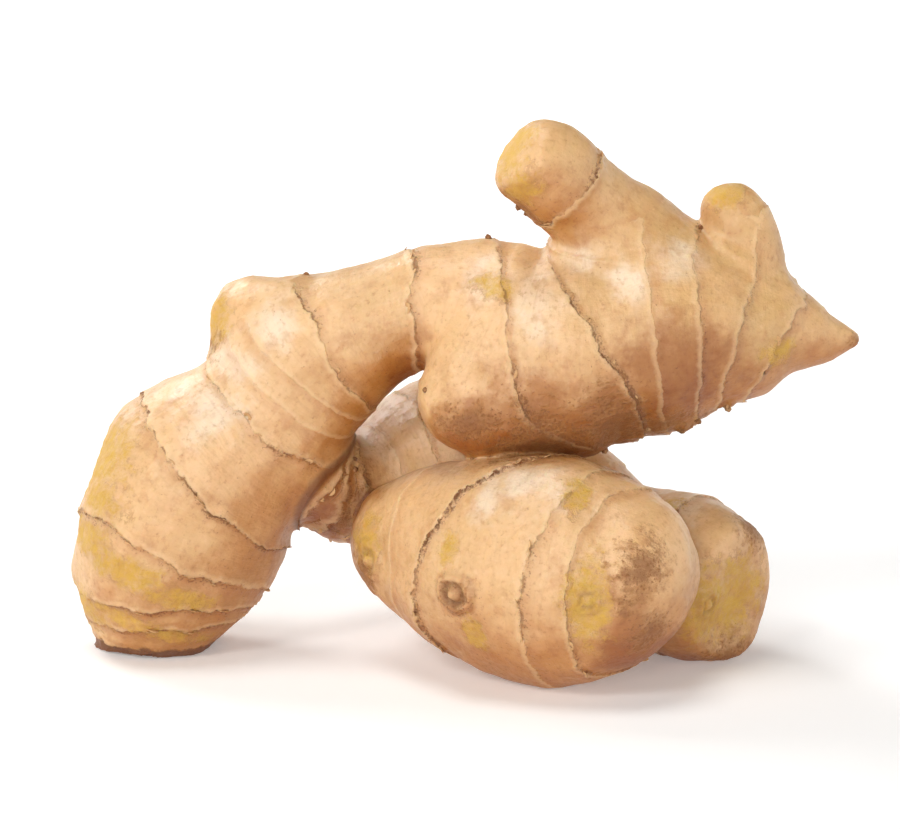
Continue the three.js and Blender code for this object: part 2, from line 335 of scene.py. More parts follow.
# The skin of the rhizome
# Thin papery tan skin over yellow flesh. Leaf scars ring every finger, each with a raised ragged lip and
# lower, younger skin in front of it. Buds, root stubs and broken ends interrupt it.
LIP_RISE = 0.32  # at the scar, behind it
LIP_REACH = 1.3
STEP_DROP = 0.26  # in front of the scar
STEP_REACH = 3.0
RING_REACH = 3.0  # the scar's signed distance is kept to this far on each side
UNEVENNESS = ((0.8, 15), (0.38, 6), (0.14, 2.4))  # height and size of the lumps all over
VALLEY_WIDTH = 3.5
VALLEY_ROUNDS = 40  # of smoothing
BEND = {"place": (-17, 14, 40), "reach": 7, "rounds": 30}  # the inside of the neck's bend
FLOW_ROUNDS = 30
CREASE_WIDTH = 1.7
CUT_HEIGHT = 2.5  # of the cut foot's edge over the table
CUT_EDGE = 0.6
FOOT_LENGTH = 14
GRAIN_GAP = 300.0  # keeps the fingers' streaks from repeating each other
SCAR_SEED = 7

# How widely a finger flows into the one it grew from, how far up it that one's rings still run, and how strongly the
# crease between them is darkened with painted shade.
JOINS = {
    "underlobe": {"parent": "stem", "flow": 12, "late": 7, "dark": 0},
    "hornLeft": {"parent": "stem", "flow": 5, "late": 6, "dark": 0.15},
    "hornRight": {"parent": "stem", "flow": 4, "late": 7, "dark": 0},
    "elbowBud": {"parent": "stem", "flow": 6, "late": 1.5, "dark": 0.3},
    "backLimb": {"parent": "stem", "flow": 5, "late": 0, "dark": 1},
    "frontLobe": {"parent": "backLimb", "flow": 3, "late": 0, "dark": 1},
}
# How sharp and dark each leaf scar is, in the order of the fingers' scars, and the angle it is sharpest at.
SCAR_WEIGHTS = {
    "stem": ((1.5, 0), (0.9, 20), (0.95, 0), (1.05, -20), (1.3, 10), (0.95, 0), (0.15, -45), (0.22, 20), (0.95, -40),
             (0.9, -60), (0.95, -20), (1.3, 15), (0.55, 60), (0.8, 20), (0.75, 20), (0.9, 40)),
    "underlobe": ((0.35, -30),), "hornLeft": ((0.35, -30), (0.95, 40)), "hornRight": ((0.9, 30),), "elbowBud": (),
    "backLimb": ((0.7, 0), (0.9, 20), (0.7, 0), (1, -20), (0.35, 0), (0.6, 0), (0.8, 180), (0.8, 160), (0.9, 120),
                 (0.8, -60)),
    "frontLobe": ((0.3, -45), (1.5, -45), (0.75, -60), (0.85, 30)),
}
# How dark the stem's skin is between one scar and the next. The other fingers' tones are drawn at random.
STEM_TONES = (0.5, 0.6, 0.6, 0.5, 0.45, 0.05, 0.15, 0.3, 0.4, 0.55, 0.1, 0.3, 0.6, 0.85, 0.75, 0.95, 0.6)
# Round scars: finger, along, angle in degrees, radius and rise, in millimetres.
BUDS = [
    ("frontLobe", 33.8, 5, 3.1, 1.7), ("frontLobe", 57.6, 1, 2, 1), ("frontLobe", 7.5, 6, 3, 0.8),
    ("backLimb", 111, 5, 2.2, 1.1), ("backLimb", 17.5, -45, 0.9, 0.7), ("backLimb", 19.5, -25, 0.9, 0.7),
    ("backLimb", 50, 165, 2.6, 0.8), ("backLimb", 80, 150, 1.8, 0.6), ("stem", 144, 70, 1.3, 1.2),
    ("stem", 155, 66, 1.2, 1.1), ("stem", 67, 176, 2, 0.6), ("stem", 111, 186, 2.4, 0.7), ("stem", 35, 164, 1.7, 0.5),
]
# Where the papery skin is rubbed through to yellow: finger, along, angle in degrees, and half the length
# along and round the finger.
RUBBED = [
    ("stem", 37, -70, 10, 12), ("stem", 31, -92, 7, 9), ("stem", 33, -48, 4, 7), ("stem", 26.4, -52, 3.8, 10),
    ("stem", 24.6, -18, 3.6, 10), ("stem", 23, 16, 2.8, 9), ("stem", 13.6, -52, 4, 9), ("stem", 15.4, -12, 2.8, 10),
    ("stem", 15, 22, 2, 8), ("elbowBud", 16.5, 0, 4.5, 7), ("frontLobe", 57.6, 3, 4.6, 10),
    ("frontLobe", 36.5, 26, 3.4, 5), ("frontLobe", 31.5, -16, 2.6, 4), ("frontLobe", 7, -14, 5, 7),
    ("frontLobe", 51, -60, 3, 5.5), ("backLimb", 112.3, -6, 7, 10.5), ("backLimb", 111, 12, 7, 10),
    ("hornLeft", 42.5, -95, 6, 7), ("hornLeft", 38.5, -45, 4, 6), ("hornRight", 29, -20, 3, 6),
    ("stem", 163, 16, 6, 3.4), ("stem", 108, -30, 7, 3), ("backLimb", 97, -60, 4, 5),
    ("stem", 30, 150, 6, 9), ("backLimb", 66, 175, 4, 9), ("stem", 120, 170, 5, 8),
]
# Painted highlights: pale silvery paper where the skin shines brightest, and on the knob to lighten its shade, listed
# the same way.
HIGHLIGHT_PATCHES = [
    ("stem", 53.5, -38, 8, 10), ("stem", 63.5, -50, 7, 9), ("stem", 73, -45, 7, 7), ("stem", 106, -34, 6, 8),
    ("stem", 119, -30, 7, 9), ("frontLobe", 43, -64, 9, 9), ("frontLobe", 36, -48, 4, 7),
    ("backLimb", 40, -66, 13, 13), ("backLimb", 24, -80, 8, 8), ("backLimb", 100, -75, 6, 8),
    ("hornLeft", 22, -50, 9, 6), ("hornLeft", 9, -20, 6, 6),
    ("stem", 145, -50, 7, 6), ("stem", 92, 190, 12, 14), ("backLimb", 60, -150, 12, 14),
]
# Golden brown earth colour, laid mostly on the undersides of the crown and underlobe, where it also paints shade.
EARTH_AND_SHADE_PATCHES = [
    ("stem", 120, 38, 15, 11), ("stem", 130, 46, 9, 11), ("underlobe", 26, -18, 11, 8),
    ("underlobe", 13, -38, 12, 11), ("stem", 142, 20, 12, 12), ("stem", 92, 72, 7, 6),
    ("backLimb", 19, 10, 7, 12), ("backLimb", 101, 80, 7, 8), ("frontLobe", 63, 50, 6, 12),
]
# Low swellings and hollows: finger, along, angle in degrees, spread and rise, in millimetres.
SWELLS = [
    ("hornLeft", 33, 80, 8, 1.3), ("hornLeft", 37, -50, 6, -1), ("hornRight", 22, 70, 6, 1.2),
    ("hornRight", 29, 0, 4, 0.6), ("stem", 105, -98, 6, 1.3), ("stem", 90, -95, 9, -0.8),
    ("backLimb", 97, -84, 9, 1.9), ("backLimb", 111, 72, 6, -2.4), ("stem", 42, -94, 6, 1.6),
    ("stem", 53, -100, 5, -0.8), ("stem", 34, -88, 6, -1.8), ("stem", 26, -84, 5, -0.8),
    ("stem", 17, -80, 4, 1.2), ("backLimb", 14, 72, 5, -2),
    ("frontLobe", 66, -15, 4.5, -0.7), ("frontLobe", 62, -45, 4, 0.6), ("frontLobe", 65, 30, 4, 0.5),
    ("backLimb", 112, -20, 6, -0.7), ("underlobe", 31, -30, 4, 0.6), ("stem", 112, 55, 5, 0.7),
    ("stem", 165, -85, 5, -1), ("stem", 163, 85, 4, 0.8), ("elbowBud", 16, 70, 4, -1.1), ("elbowBud", 13, -60, 4, 1),
]
# Brown and rough: the dry shoot tip, the cut foot, and the ends that other fingers broke from.
STAINS = [
    ("frontLobe", 64.5, -24, 6, 7), ("frontLobe", 66, 45, 6, 5), ("frontLobe", 63, 8, 2, 2.4),
    ("frontLobe", 5, 25, 4.5, 6), ("frontLobe", 34, 8, 4.5, 4.6), ("stem", 178, 0, 2.4, 2),
    ("backLimb", 109, 95, 4, 8), ("backLimb", 109, -115, 4, 6),
    ("hornLeft", 34, -80, 7, 3.6), ("elbowBud", 15, -52, 4, 5), ("underlobe", 27, -16, 9, 4.5),
    ("underlobe", 16, -42, 12, 8), ("stem", 120, 48, 12, 10), ("stem", 129.5, 45, 8, 11),
    ("stem", 137, 58, 9, 6), ("backLimb", 19.5, 5, 2.6, 9), ("stem", 150, 72, 9, 2.5), ("stem", 93, 92, 5, 5),
]


def measure(points):
    """For each point and finger: the distance along the finger, the angle round it and the height over it."""
    along, angle, gap = {}, {}, {}
    for name, spine in SPINES.items():
        nearest = np.concatenate([
            np.argmin((spine.point**2).sum(1) - 2 * some @ spine.point.T, axis=1)
            for some in np.array_split(points, 1 + len(points) // POINTS_AT_ONCE)
        ])
        offset = points - spine.point[nearest]
        along[name] = np.clip(spine.along[nearest] + (offset * spine.onward[nearest]).sum(1), 0, spine.length)
        across = (offset * spine.right[nearest]).sum(1)
        forward = (offset * spine.facing[nearest]).sum(1) / FINGERS[name]["flat"]
        angle[name] = np.arctan2(across, forward)
        past = (offset * spine.onward[nearest]).sum(1) + spine.along[nearest] - along[name]
        reach = np.hypot(across, forward) - half_thickness(name, along[name], angle[name])
        gap[name] = np.where(reach > 0, np.hypot(reach, past), reach)
    return along, angle, gap


def vertex_rows(bm):
    bm.normal_update()
    places = np.array([vertex.co for vertex in bm.verts]) / MM
    return places, np.array([vertex.normal for vertex in bm.verts])


def move(bm, places):
    places[:, 2] = np.maximum(places[:, 2], 0)
    for vertex, place in zip(bm.verts, places * MM):
        vertex.co = place


def smooth(bm, mask, times):
    bm.verts.ensure_lookup_table()
    chosen = [bm.verts[i] for i in np.nonzero(mask)[0]]
    for _ in range(times):
        bmesh.ops.smooth_vert(bm, verts=chosen, factor=0.5, use_axis_x=True, use_axis_y=True, use_axis_z=True)


def scar_line(scar, angle):
    left, facing, right = scar
    return facing + (right - left) / 2 * np.sin(angle) + ((left + right) / 2 - facing) * (1 - np.cos(angle))


def ragged(angle, girth, random, finest):
    """A wandering line round a finger, about -1 to 1, with waves from the whole girth down to the finest."""
    line = np.zeros_like(angle)
    total = 0
    waves = 2
    while 2 * math.pi * girth / waves > finest:
        height = waves**-0.5
        line += height * np.sin(waves * angle + random.uniform(0, 2 * math.pi))
        total += height**2
        waves += max(1, waves // 3)
    return line / math.sqrt(total)


def clouds(points, size):
    return np.array([noise.noise(Vector(place) / size) for place in points])


def spot(finger, place, degrees):
    """The point of the smooth skin at this place along a finger and this angle round it."""
    along, angle = np.array([place]), np.array([math.radians(degrees)])
    return place_on(finger, along, angle, half_thickness(finger, along, angle))[0]


def nearness(points, marks):
    """How deep each point lies in the nearest of the marks: 1 in the middle, 0 at its edge, less outside."""
    depth = np.full(len(points), -1.0)
    for finger, place, degrees, half_long, half_round in marks:
        spine = SPINES[finger]
        place = min(place, spine.length)
        offset = points - spot(finger, place, degrees)
        lengthwise = offset @ spine.at(spine.onward, np.array([place]))[0]
        sideways = np.sqrt(np.maximum((offset**2).sum(1) - lengthwise**2, 0))
        depth = np.maximum(depth, 1 - np.hypot(lengthwise / half_long, sideways / half_round))
    return np.maximum(depth, -1)


bm = bmesh.new()
bm.from_mesh(rhizome_mesh)
points, normals = vertex_rows(bm)
along, angle, gap = measure(points)

# The fingers flow into each other: the valley where two meet is smoothed and filled up.
valley = np.zeros(len(points), bool)
for child, join in JOINS.items():
    apart = np.abs(gap[child] - gap[join["parent"]])
    on_pair = np.minimum(gap[child], gap[join["parent"]]) < 1
    valley |= on_pair & (apart < VALLEY_WIDTH)
smooth(bm, valley, VALLEY_ROUNDS)
bend = np.linalg.norm(points - np.array(BEND["place"]), axis=1) < BEND["reach"]
smooth(bm, bend, BEND["rounds"])
points, normals = vertex_rows(bm)
lift = np.zeros(len(points))
flowing = np.zeros(len(points), bool)
for child, join in JOINS.items():
    apart = np.abs(gap[child] - gap[join["parent"]])
    share = np.clip(1 - apart / join["flow"], 0, 1) * (np.minimum(gap[child], gap[join["parent"]]) < 2)
    for other in FINGERS:
        if other not in (child, join["parent"]):
            share *= np.clip(gap[other] / 3, 0, 1) ** 0.5
    lift = np.maximum(lift, join["flow"] / 4 * share**2)
    flowing |= (share > 0.1) & (join["flow"] > 5)
move(bm, points + normals * lift[:, None])
smooth(bm, flowing, FLOW_ROUNDS)
points, normals = vertex_rows(bm)
along, angle, gap = measure(points)

# Every vertex belongs to one finger, whose rings run through it.
NAMES = list(FINGERS)
claims = np.stack([np.abs(gap[name]) + JOINS.get(name, {"late": 0})["late"] for name in NAMES])
owner = np.argmin(claims, axis=0)
each = np.arange(len(points))
at = np.stack([along[name] for name in NAMES])[owner, each]
turn = np.stack([angle[name] for name in NAMES])[owner, each]
girth = np.zeros(len(points))
for index, name in enumerate(NAMES):
    mine = owner == index
    girth[mine] = np.interp(at[mine], SPINES[name].along, SPINES[name].half)
# Painted shade: the crease where a finger meets its parent is painted dark.
crease_shade = np.zeros(len(points))
for child, join in JOINS.items():
    apart = np.abs(gap[child] - gap[join["parent"]])
    near = np.minimum(np.abs(gap[child]), np.abs(gap[join["parent"]])) < 3
    crease_shade = np.maximum(crease_shade, join["dark"] * near * np.exp(-((apart / CREASE_WIDTH) ** 2)))

random = np.random.default_rng(SCAR_SEED)
to_scar = np.full(len(points), 99.0)
strength = np.zeros(len(points))
tint = np.zeros(len(points))
for index, name in enumerate(NAMES):
    mine = np.nonzero(owner == index)[0]
    passed = np.zeros(len(mine), int)
    for scar, (weight, sharpest) in zip(FINGERS[name]["scars"], SCAR_WEIGHTS[name]):
        typical = np.interp(scar[1], SPINES[name].along, SPINES[name].half)
        wander = (0.25 + 0.4 * weight) * ragged(turn[mine], typical, random, 1.6)
        away = at[mine] - scar_line(scar, turn[mine]) - wander
        sharp = 0.72 + 0.28 * np.cos(turn[mine] - math.radians(sharpest))
        sharp = sharp + 0.3 * ragged(turn[mine], typical, random, 9)
        sharp = np.clip(weight * sharp, 0.05, 1.6)
        closer = np.abs(away) < np.abs(to_scar[mine])
        # the lips point down at the leg, and on to the finger's tip elsewhere
        to_scar[mine[closer]] = away[closer] * (-1 if scar[1] < FINGERS[name].get("downward", 0) else 1)
        strength[mine[closer]] = sharp[closer]
        passed += away > 0
    tones = random.uniform(0.1, 0.8, len(FINGERS[name]["scars"]) + 1)
    tint[mine] = np.array(STEM_TONES if name == "stem" else tones)[passed]
ring_turn = np.clip(to_scar / RING_REACH, -1, 1) * math.pi

# Rings fade out where one finger's patterns give way to another's.
ranked = np.sort(claims, axis=0)
inside = np.clip((ranked[1] - ranked[0]) / 1.6 - 0.5, 0, 1)
strength *= inside
to_end = np.array([SPINES[name].length for name in NAMES])[owner] - at
streaky = inside * np.clip(to_end / 3 - 0.3, 0, 1) * np.clip(at / 3 - 0.3, 0, 1)

relief = np.where(
    to_scar < 0,
    LIP_RISE * np.exp(to_scar / LIP_REACH),
    -STEP_DROP * np.exp(-to_scar / STEP_REACH) * (1 - np.exp(-(to_scar + 0.25) / 0.3)),
)
relief *= strength * (1 - crease_shade)
relief += sum(height * clouds(points, size) for height, size in UNEVENNESS)
for finger, place, degrees, spread, rise in SWELLS:
    offset = points - spot(finger, place, degrees)
    relief += rise * np.exp(-(offset**2).sum(1) / spread**2)

rubbed = nearness(points, RUBBED)
# painted highlights
pale = nearness(points, HIGHLIGHT_PATCHES)
earth_and_shade = nearness(points, EARTH_AND_SHADE_PATCHES)
stained = nearness(points, STAINS)
# The cut at the foot is set back under the skin's flared edge, and its bottom edge is painted dark: painted shadow
# under that edge, over the dried cut's own brown.
on_foot = (owner == NAMES.index("stem")) & (at < FOOT_LENGTH)
cut_and_shadow = np.where(on_foot, (CUT_HEIGHT - points[:, 2]) / CUT_EDGE + clouds(points, 2.5), -1)
relief -= np.clip(cut_and_shadow, 0, 1) * np.clip(1 + normals[:, 2] * 1.6, 0, 1)
# painted shadow: the foot's bottom edge is darkened like a crease and stained brown
crease_shade = np.maximum(crease_shade, np.clip(cut_and_shadow, 0, 1))
stained = np.maximum(stained, np.clip(cut_and_shadow, -1, 1.4))
relief += np.clip(stained * 3, 0, 1) * 0.22 * clouds(points, 1.3)
relief += np.clip(rubbed * 3, 0, 1) * 0.2 * clouds(points, 1.6)
# A round scar has a raised rim with a moat inside it and a nipple in the middle.
bud_mark = np.zeros(len(points))
for finger, place, degrees, radius, rise in BUDS:
    away = np.linalg.norm(points - spot(finger, place, degrees), axis=1) / radius
    close = away < 2
    away[close] *= 1 + 0.25 * clouds(points[close], radius * 0.8)
    rim = np.exp(-(((away - 0.95) / 0.3) ** 2)) * 0.6
    nipple = np.exp(-((away / 0.36) ** 2))
    moat = np.exp(-(((away - 0.58) / 0.16) ** 2)) * 0.25
    relief += rise * (rim + nipple - moat)
    dark = np.exp(-(((away - 0.66) / 0.2) ** 2)) + 0.35 * np.exp(-(((away - 1.25) / 0.2) ** 2))
    bud_mark += min(1, rise / 1.3) * (dark - nipple)
move(bm, points + normals * relief[:, None])
points, normals = vertex_rows(bm)
bm.to_mesh(rhizome_mesh)
bm.free()


def store(mesh, name, *columns):
    """Keeps three numbers for each vertex, for the materials to read."""
    rows = np.stack(columns, axis=1).astype(np.float32)
    mesh.attributes.new(name, "FLOAT_VECTOR", "POINT").data.foreach_set("vector", rows.ravel())


store(rhizome_mesh, "grain", at + owner * GRAIN_GAP, girth * np.cos(turn), girth * np.sin(turn))
store(rhizome_mesh, "ring", np.sin(ring_turn), np.cos(ring_turn), strength)
# the crease column is painted shade
store(rhizome_mesh, "marks", rubbed, crease_shade, stained)
# Painted shade: the skin is darker and browner where it faces down, and a little more on its right-hand side, away
# from the lamps.
low = np.clip(0.5 - normals[:, 2] * 0.62 + normals[:, 0] * 0.12, 0, 1)
store(rhizome_mesh, "shade", tint, bud_mark, low)
# the second column is painted highlights, the third golden brown earth colour that also paints shade
store(rhizome_mesh, "paper", streaky, pale, earth_and_shade)
rhizome_mesh.polygons.foreach_set("use_smooth", [True] * len(rhizome_mesh.polygons))

rhizome = bpy.data.objects.new("rhizome_skin", rhizome_mesh)
bpy.context.scene.collection.objects.link(rhizome)
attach(rhizome, "root")
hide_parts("rhizome")


# The look of the skin
# Tan paper over flesh, mottled from pink beige to straw, with fine streaks along each finger, brown ragged lines at
# the leaf scars, yellow flesh where the paper is rubbed away, painted shade in the creases and on the undersides, and
# painted highlights on the tops and the scars' lips.
PAPER_LIGHT, PAPER_DARK = (0.75, 0.47, 0.235, 1), (0.62, 0.375, 0.15, 1)
# the second colour is a painted highlight
HIGHLIGHT_SILVER = (0.82, 0.67, 0.50, 1)
PATCH_PALE, PATCH_RUDDY = (0.76, 0.47, 0.225, 1), (0.52, 0.24, 0.085, 1)
FLECK_LIGHT, FLECK_DARK = (0.79, 0.54, 0.29, 1), (0.44, 0.19, 0.06, 1)
CRUMB_BROWN = (0.22, 0.085, 0.026, 1)
FIBRE_STRAW, WRINKLE_BROWN = (0.78, 0.53, 0.28, 1), (0.42, 0.185, 0.06, 1)
YOUNG_SKIN, LIP_STRAW = (0.54, 0.25, 0.10, 1), (0.80, 0.56, 0.31, 1)
# The first of these two is painted shade on the undersides; the second is golden brown earth colour that also paints
# shade under the crown and underlobe.
UNDERSIDE_SHADE_TAN, EARTH_AND_SHADE_TAN = (0.62, 0.39, 0.16, 1), (0.58, 0.36, 0.13, 1)  # these two darken the paper's own colour
FLESH_DEEP, FLESH_LIGHT = (0.60, 0.32, 0.025, 1), (0.72, 0.45, 0.07, 1)
# The second of these two is painted shade on the flesh's undersides.
FLESH_FIBRE, FLESH_UNDERSIDE_SHADE = (0.48, 0.24, 0.04, 1), (0.42, 0.19, 0.03, 1)
TORN_EDGE = (0.40, 0.18, 0.05, 1)
EARTH_THIN, EARTH_THICK = (0.40, 0.165, 0.034, 1), (0.22, 0.075, 0.016, 1)
SCAR_BROWN, BUD_PALE = (0.25, 0.10, 0.03, 1), (0.72, 0.46, 0.22, 1)
# painted shade colour for the creases
CREASE_SHADE = (0.17, 0.055, 0.016, 1)
NUMBER, VECTOR, COLOUR = "NodeSocketFloat", "NodeSocketVector", "NodeSocketColor"


def add(tree, kind, inputs, **settings):
    """A node with its settings and inputs. An input is a value or another node's output."""
    made = tree.nodes.new(kind)
    for name, value in settings.items():
        setattr(made, name, value)
    for name, value in inputs.items():
        if isinstance(value, bpy.types.NodeSocket):
            tree.links.new(value, made.inputs[name])
        else:
            made.inputs[name].default_value = value
    return made


def math_of(tree, operation, *values):
    return add(tree, "ShaderNodeMath", dict(enumerate(values)), operation=operation).outputs[0]


def plus(tree, first, second):
    return math_of(tree, "ADD", first, second)


def minus(tree, first, second):
    return math_of(tree, "SUBTRACT", first, second)


def times(tree, first, second):
    return math_of(tree, "MULTIPLY", first, second)


def ramp(tree, value, low, high, out_low=0.0, out_high=1.0):
    """The value brought from low..high to out_low..out_high, with soft ends."""
    inputs = {0: value, 1: low, 2: high, 3: out_low, 4: out_high}
    return add(tree, "ShaderNodeMapRange", inputs, interpolation_type="SMOOTHSTEP").outputs[0]


def coats(tree, colour, *layers):
    """The colour under coats of others, the last on top. Each has its share, its colour and maybe a way to mix."""
    for share, over, *way in layers:
        inputs = {0: share, 6: colour, 7: over}
        settings = {"data_type": "RGBA", "blend_type": way[0] if way else "MIX"}
        colour = add(tree, "ShaderNodeMix", inputs, **settings).outputs[2]
    return colour


def noise_of(tree, where, size, detail=2.0, rough=0.5, stretch=(1, 1, 1)):
    """Noise from 0 to 1 whose lumps are about this many millimetres. where is in millimetres."""
    scaled = add(tree, "ShaderNodeMapping", {0: where, 3: tuple(k / size for k in stretch)}).outputs[0]
    inputs = {"Vector": scaled, "Scale": 1.0, "Detail": detail, "Roughness": rough}
    return add(tree, "ShaderNodeTexNoise", inputs).outputs[0]


def cloudy(tree, where, size, detail, rough, strength):
    """Such noise about zero, this strong."""
    return times(tree, minus(tree, noise_of(tree, where, size, detail, rough), 0.5), strength)


def attribute(tree, name):
    return add(tree, "ShaderNodeAttribute", {}, attribute_name=name).outputs["Vector"]


def three(tree, name):
    """The three numbers kept under this name."""
    return add(tree, "ShaderNodeSeparateXYZ", {0: attribute(tree, name)}).outputs


def in_millimetres(tree):
    place = add(tree, "ShaderNodeTexCoord", {}).outputs["Object"]
    return add(tree, "ShaderNodeMapping", {0: place, 3: (1000, 1000, 1000)}).outputs[0]


def new_group(name, inputs, outputs):
    """A shader node group with named sockets, and its input and output nodes."""
    tree = bpy.data.node_groups.new(name, "ShaderNodeTree")
    for label, kind in inputs.items():
        tree.interface.new_socket(label, in_out="INPUT", socket_type=kind)
    for label, kind in outputs.items():
        tree.interface.new_socket(label, in_out="OUTPUT", socket_type=kind)
    return tree, add(tree, "NodeGroupInput", {}).outputs, add(tree, "NodeGroupOutput", {}).inputs


def use_group(tree, group, inputs):
    return add(tree, "ShaderNodeGroup", inputs, node_tree=group).outputs


# Mottling and brown crumbs, shared by the skin, its papery flakes and the root stubs.
weathered, given, result = new_group(
    "weathered_paper", {"Place": VECTOR, "Colour": COLOUR, "Crumbs": NUMBER}, {"Colour": COLOUR, "Height": NUMBER}
)
broad = noise_of(weathered, given["Place"], 13, 3)
middling = noise_of(weathered, given["Place"], 4.2, 4, 0.6)
fine = noise_of(weathered, given["Place"], 1.1, 4, 0.65)
crumb = noise_of(weathered, given["Place"], 0.55, 3, 0.7)
crumb = plus(weathered, crumb, times(weathered, given["Crumbs"], 0.24))
crumb = plus(weathered, crumb, times(weathered, middling, 0.12))
crumb = ramp(weathered, crumb, 0.74, 0.86)
mottled = coats(
    weathered, given["Colour"],
    (ramp(weathered, broad, 0.42, 0.66, 0, 0.55), PATCH_PALE),
    (ramp(weathered, middling, 0.5, 0.28, 0, 0.5), PATCH_RUDDY),
    (ramp(weathered, fine, 0.5, 0.76, 0, 0.5), FLECK_DARK),
    (ramp(weathered, fine, 0.46, 0.26, 0, 0.4), FLECK_LIGHT),
    (times(weathered, crumb, 0.8), CRUMB_BROWN),
)
weathered.links.new(mottled, result["Colour"])
weathered.links.new(plus(weathered, fine, times(weathered, crumb, 0.35)), result["Height"])

# Fine streaks that follow a finger: long fibres, and short wrinkles across them.
streaked, given, result = new_group(
    "streaks", {"Grain": VECTOR, "Place": VECTOR}, {"Fibre": NUMBER, "Wrinkle": NUMBER}
)
sway = add(streaked, "ShaderNodeTexNoise", {"Vector": given["Place"], "Scale": 0.11, "Detail": 2.0})
sway = sway.outputs["Color"]
sway = add(streaked, "ShaderNodeVectorMath", {0: sway, 1: (0.5, 0.5, 0.5)}, operation="SUBTRACT").outputs[0]
sway = add(streaked, "ShaderNodeVectorMath", {0: sway, 1: (4, 4, 4)}, operation="MULTIPLY").outputs[0]
bent = add(streaked, "ShaderNodeVectorMath", {0: given["Grain"], 1: sway}, operation="ADD").outputs[0]
streaked.links.new(noise_of(streaked, given["Grain"], 0.95, 3, 0.6, (0.09, 1, 1)), result["Fibre"])
streaked.links.new(noise_of(streaked, bent, 1.1, 4, 0.62, (1, 0.12, 0.12)), result["Wrinkle"])

skin, tree, principled = new_material("ginger_skin")
principled.inputs["IOR"].default_value = 1.52
principled.inputs["Specular IOR Level"].default_value = 0.62
principled.inputs["Subsurface Weight"].default_value = 0.4
principled.inputs["Subsurface Radius"].default_value = (1.0, 0.4, 0.14)
principled.inputs["Subsurface Scale"].default_value = 0.003

place = in_millimetres(tree)
grain = attribute(tree, "grain")
ring_sin, ring_cos, ring_strength = three(tree, "ring")
rub, crease_shade_mask, stain = three(tree, "marks")
tint_value, bud_value, underside_shade_value = three(tree, "shade")
streaky_value, highlight_value, earth_and_shade_value = three(tree, "paper")


def faded(value):
    """The streaks' value, faded to 0.5 at a finger's ends and where another's streaks begin."""
    return plus(tree, 0.5, times(tree, minus(tree, value, 0.5), streaky_value))


streaks = use_group(tree, streaked, {"Grain": grain, "Place": place})
fibre, wrinkle = faded(streaks["Fibre"]), faded(streaks["Wrinkle"])
smears = faded(noise_of(tree, grain, 1.5, 5, 0.68, (0.3, 1, 1)))

# Leaf scars: a broken dark line of changing width, a band of crumbs on it, the pale lip, partly a painted highlight
# on its ridge, and the young skin.
scar = times(tree, math_of(tree, "ARCTAN2", ring_sin, ring_cos), RING_REACH / math.pi)
scar = plus(tree, scar, minus(tree, noise_of(tree, place, 0.8, 4, 0.7), 0.5))
broken = ramp(tree, noise_of(tree, place, 3.2, 4, 0.7), 0.4, 0.6, 0.12, 1)
line_width = ramp(tree, noise_of(tree, place, 2.4, 3, 0.6), 0.38, 0.7, 0.14, 0.62)
line = ramp(tree, math_of(tree, "DIVIDE", math_of(tree, "ABSOLUTE", scar), line_width), 1.0, 0.1)
line = times(tree, times(tree, line, math_of(tree, "POWER", ring_strength, 1.6)), broken)
band = ramp(tree, math_of(tree, "ABSOLUTE", minus(tree, scar, 0.35)), 1.25, 0.1)
band = times(tree, band, ring_strength)
# the lip's paler colour: partly its own dry paper, partly a painted highlight
lip_pale_and_highlight = times(tree, ramp(tree, scar, -1.5, -0.45), ramp(tree, scar, 0.05, -0.2))
young = times(tree, ramp(tree, scar, 0.0, 0.3), ramp(tree, scar, 2.6, 0.6))

# Paper: painted highlights as pale silvery patches, painted shade darkening the undersides, and golden brown earth
# colour that also paints shade under the crown and underlobe.
low = ramp(tree, plus(tree, underside_shade_value, cloudy(tree, place, 9, 4, 0.6, 0.6)), 0.3, 1.0)
blotch = cloudy(tree, place, 5, 4, 0.6, 1.8)
# painted highlight: pale silvery patches
highlight_silver = ramp(tree, plus(tree, highlight_value, blotch), -0.1, 0.8, 0, 0.8)
# golden brown earth colour that also paints shade under the crown and underlobe
earth_and_shade_tan = ramp(tree, plus(tree, earth_and_shade_value, blotch), -0.3, 0.6, 0, 0.85)
top_tan = coats(tree, PAPER_LIGHT, (tint_value, PAPER_DARK), (highlight_silver, HIGHLIGHT_SILVER))
crumbs = plus(tree, times(tree, band, 0.55), times(tree, ramp(tree, stain, -0.5, 0.6), 0.5))
# painted shade: more brown crumbs on the undersides
crumbs = plus(tree, crumbs, times(tree, low, 0.22))
paper = use_group(tree, weathered, {"Place": place, "Colour": top_tan, "Crumbs": crumbs})

# Bare flesh with a torn brown edge, where the paper is rubbed away.
edge = plus(tree, rub, cloudy(tree, place, 2.8, 5, 0.72, 2.3))
bare = ramp(tree, edge, 0.0, 0.62)
flesh = coats(
    tree, FLESH_DEEP,
    (noise_of(tree, place, 2.0, 3), FLESH_LIGHT),
    (ramp(tree, fibre, 0.45, 0.7, 0, 0.35), FLESH_FIBRE),
    # painted shade on the flesh's undersides
    (times(tree, low, 0.4), FLESH_UNDERSIDE_SHADE),
)
patchy = ramp(tree, noise_of(tree, place, 1.6, 4, 0.65), 0.34, 0.62, 0.45, 0.95)
torn = times(tree, ramp(tree, edge, -0.04, 0.12), ramp(tree, edge, 0.25, 0.12))
torn = times(tree, torn, ramp(tree, noise_of(tree, place, 3.5, 3), 0.45, 0.65, 0, 0.5))

# Earth, smeared along the finger.
dirt = plus(tree, noise_of(tree, place, 2.2, 5, 0.68), times(tree, smears, 0.8))
dirt = plus(tree, stain, times(tree, minus(tree, dirt, 0.9), 2.0))
grime = ramp(tree, dirt, 0.05, 0.75)

